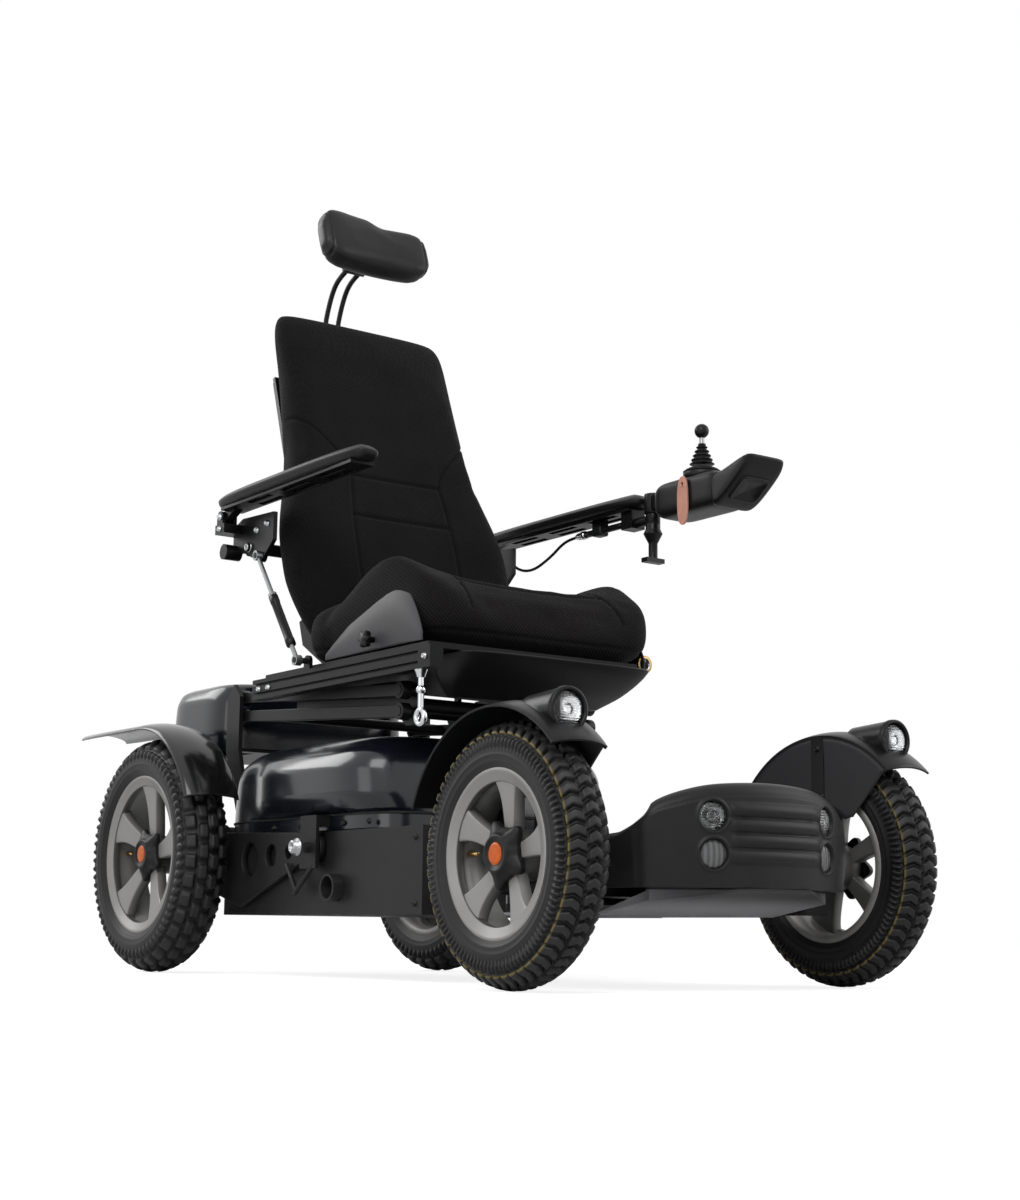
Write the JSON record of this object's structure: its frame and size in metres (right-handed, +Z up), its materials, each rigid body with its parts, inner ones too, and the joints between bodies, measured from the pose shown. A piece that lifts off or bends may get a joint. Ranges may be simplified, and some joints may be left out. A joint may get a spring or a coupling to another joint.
{
  "type": "all terrain wheelchair",
  "caption": "Powered wheelchair for rough ground with steered front wheels, sprung rear drive arms, lifting and tilting padded seat, reclining back, flip-up arms and a joystick.",
  "frame": {"origin": "on the floor below the middle of the overall length and width", "axes": "+X to the sitter's left, -Y to the front, +Z up"},
  "size_m": [0.72, 1.5555, 1.4253],
  "materials": {
    "chassis_paint": "satin",
    "battery_case": "satin",
    "shroud": "gloss",
    "footplate_metal": "satin",
    "bumper_plastic": "satin",
    "lamp_lens": "gloss",
    "knuckle_metal": "satin",
    "bare_steel": "satin",
    "front_guard": "matte",
    "rear_guard": "gloss",
    "tyre": "matte",
    "rim_metal": "satin",
    "hub_plastic": "satin",
    "arm_steel": "satin",
    "motor_metal": "satin",
    "rail_metal": "satin",
    "tray_plastic": "satin",
    "seat_fabric": "matte",
    "headrest_vinyl": "satin",
    "bright_steel": "gloss",
    "pad_skin": "satin",
    "control_plastic": "satin",
    "boot_rubber": "matte",
    "tag_leather": "satin"
  },
  "bodies": {
    "base": {"chassis_frame": "chassis_paint", "battery_pair": "battery_case", "body_shroud": "shroud", "rear_shroud": "shroud", "lift_tower": "chassis_paint", "footplate": "footplate_metal", "front_bumper": "bumper_plastic", "bumper_lamps": "lamp_lens", "front_axle_beam": "chassis_paint", "steering_motor": "motor_metal"},
    "steer_right_body": {"knuckle_right": "knuckle_metal", "front_mudguard_right": "front_guard", "headlamp_right": "lamp_lens"},
    "steer_left_body": {"knuckle_left": "knuckle_metal", "front_mudguard_left": "front_guard", "headlamp_left": "lamp_lens"},
    "tie_rod_body": {"tie_rod": "bare_steel"},
    "front_wheel_right": {"front_tyre_right": "tyre", "front_rim_right": "rim_metal", "front_hubcap_right": "hub_plastic"},
    "front_wheel_left": {"front_tyre_left": "tyre", "front_rim_left": "rim_metal", "front_hubcap_left": "hub_plastic"},
    "rear_arm_right_body": {"rear_arm_right": "arm_steel", "drive_motor_right": "motor_metal", "rear_mudguard_right": "rear_guard"},
    "rear_arm_left_body": {"rear_arm_left": "arm_steel", "drive_motor_left": "motor_metal", "rear_mudguard_left": "rear_guard"},
    "rear_wheel_right": {"rear_tyre_right": "tyre", "rear_rim_right": "rim_metal", "rear_hubcap_right": "hub_plastic"},
    "rear_wheel_left": {"rear_tyre_left": "tyre", "rear_rim_left": "rim_metal", "rear_hubcap_left": "hub_plastic"},
    "lift_lower": {"lift_arms_lower": "arm_steel"},
    "lift_upper": {"lift_arms_upper": "arm_steel"},
    "carriage": {"seat_carriage": "arm_steel"},
    "seat": {"seat_rails": "rail_metal", "seat_tray": "tray_plastic", "seat_cushion": "seat_fabric", "tie_down_eyes": "bright_steel", "receptacle_tube": "bright_steel"},
    "back": {"back_frame": "rail_metal", "back_cushion": "seat_fabric"},
    "headrest_stem": {"headrest_posts": "arm_steel"},
    "headrest": {"headrest_plate": "arm_steel", "headrest_pad": "headrest_vinyl"},
    "brackets": {"arm_brackets": "rail_metal"},
    "rods": {"arm_rods": "bare_steel"},
    "arm_right": {"arm_rail_right": "rail_metal", "arm_pad_right": "pad_skin"},
    "arm_left": {"arm_rail_left": "rail_metal", "arm_pad_left": "pad_skin"},
    "knob": {"clamp_knob": "control_plastic"},
    "controller": {"controller_body": "control_plastic", "joystick_boot": "boot_rubber"},
    "gimbal": {"joystick_gimbal": "motor_metal"},
    "stick": {"joystick_stick": "boot_rubber"},
    "tag": {"key_tag": "tag_leather"}
  },
  "joints": [
    {"name": "steer_right", "type": "hinge", "parent": "base", "child": "steer_right_body", "pos_m": [-0.235, -0.5835, 0.16], "axis": [0, 0, 1], "range_deg": [-25, 25]},
    {"name": "steer_left", "type": "hinge", "parent": "base", "child": "steer_left_body", "pos_m": [0.235, -0.5835, 0.16], "axis": [0, 0, 1], "range_deg": [-25, 25]},
    {"name": "tie_rod_pivot", "type": "hinge", "parent": "steer_right_body", "child": "tie_rod_body", "pos_m": [-0.235, -0.4835, 0.122], "axis": [0, 0, 1], "range_deg": [-25, 25]},
    {"name": "front_spin_right", "type": "hinge", "parent": "steer_right_body", "child": "front_wheel_right", "pos_m": [-0.308, -0.5835, 0.18], "axis": [1, 0, 0], "continuous": true},
    {"name": "front_spin_left", "type": "hinge", "parent": "steer_left_body", "child": "front_wheel_left", "pos_m": [0.308, -0.5835, 0.18], "axis": [1, 0, 0], "continuous": true},
    {"name": "suspension_right", "type": "hinge", "parent": "base", "child": "rear_arm_right_body", "pos_m": [-0.244, 0.0615, 0.21], "axis": [1, 0, 0], "range_deg": [-4, 4], "stiffness_Nm_per_rad": 60000, "springref_deg": -0.2},
    {"name": "suspension_left", "type": "hinge", "parent": "base", "child": "rear_arm_left_body", "pos_m": [0.244, 0.0615, 0.21], "axis": [1, 0, 0], "range_deg": [-4, 4], "stiffness_Nm_per_rad": 60000, "springref_deg": -0.2},
    {"name": "rear_spin_right", "type": "hinge", "parent": "rear_arm_right_body", "child": "rear_wheel_right", "pos_m": [-0.308, 0.5165, 0.209], "axis": [1, 0, 0], "continuous": true},
    {"name": "rear_spin_left", "type": "hinge", "parent": "rear_arm_left_body", "child": "rear_wheel_left", "pos_m": [0.308, 0.5165, 0.209], "axis": [1, 0, 0], "continuous": true},
    {"name": "seat_lift", "type": "hinge", "parent": "base", "child": "lift_lower", "pos_m": [0, 0.4365, 0.462], "axis": [-1, 0, 0], "range_deg": [0, 25]},
    {"name": "lift_link", "type": "hinge", "parent": "base", "child": "lift_upper", "pos_m": [0, 0.4365, 0.496], "axis": [-1, 0, 0], "range_deg": [0, 25]},
    {"name": "carriage_level", "type": "hinge", "parent": "lift_lower", "child": "carriage", "pos_m": [0, -0.1085, 0.424], "axis": [-1, 0, 0], "range_deg": [-25, 0]},
    {"name": "seat_tilt", "type": "hinge", "parent": "carriage", "child": "seat", "pos_m": [0, 0.2515, 0.47], "axis": [-1, 0, 0], "range_deg": [0, 25]},
    {"name": "back_recline", "type": "hinge", "parent": "seat", "child": "back", "pos_m": [0, 0.1415, 0.545], "axis": [-1, 0, 0], "range_deg": [0, 30]},
    {"name": "headrest_height", "type": "slide", "parent": "back", "child": "headrest_stem", "axis": [0, 0.3173, 0.9483], "range_m": [-0.05, 0.05]},
    {"name": "headrest_tilt", "type": "hinge", "parent": "headrest_stem", "child": "headrest", "pos_m": [0, 0.37833, 1.35681], "axis": [1, 0, 0], "range_deg": [-20, 20]},
    {"name": "bracket_level", "type": "hinge", "parent": "back", "child": "brackets", "pos_m": [0, 0.29352, 0.74721], "axis": [-1, 0, 0], "range_deg": [-30, 0]},
    {"name": "rod_swing", "type": "hinge", "parent": "seat", "child": "rods", "pos_m": [0, 0.0965, 0.522], "axis": [-1, 0, 0], "range_deg": [0, 30]},
    {"name": "arm_flip_right", "type": "hinge", "parent": "brackets", "child": "arm_right", "pos_m": [-0.285, 0.3385, 0.805], "axis": [-1, 0, 0], "range_deg": [0, 90]},
    {"name": "arm_flip_left", "type": "hinge", "parent": "brackets", "child": "arm_left", "pos_m": [0.285, 0.3385, 0.805], "axis": [-1, 0, 0], "range_deg": [0, 90]},
    {"name": "clamp_turn", "type": "hinge", "parent": "arm_left", "child": "knob", "pos_m": [0.285, -0.1705, 0.75], "axis": [0, 0, 1], "continuous": true},
    {"name": "controller_swing", "type": "hinge", "parent": "arm_left", "child": "controller", "pos_m": [0.285, -0.1705, 0.79], "axis": [0, 0, 1], "range_deg": [0, 90]},
    {"name": "stick_pitch", "type": "hinge", "parent": "controller", "child": "gimbal", "pos_m": [0.285, -0.3005, 0.849], "axis": [1, 0, 0], "range_deg": [-15, 15], "stiffness_Nm_per_rad": 0.6},
    {"name": "stick_roll", "type": "hinge", "parent": "gimbal", "child": "stick", "pos_m": [0.285, -0.3005, 0.849], "axis": [0, 1, 0], "range_deg": [-15, 15], "stiffness_Nm_per_rad": 0.6},
    {"name": "tag_swing", "type": "hinge", "parent": "controller", "child": "tag", "pos_m": [0.241, -0.3005, 0.826], "axis": [1, 0, 0], "range_deg": [-35, 35]}
  ],
  "couplings": [
    {"joint": "steer_left", "follows": "steer_right", "ratio": 1},
    {"joint": "tie_rod_pivot", "follows": "steer_right", "ratio": -1},
    {"joint": "lift_link", "follows": "seat_lift", "ratio": 1},
    {"joint": "carriage_level", "follows": "seat_lift", "ratio": -1},
    {"joint": "bracket_level", "follows": "back_recline", "ratio": -1},
    {"joint": "rod_swing", "follows": "back_recline", "ratio": 1}
  ]
}
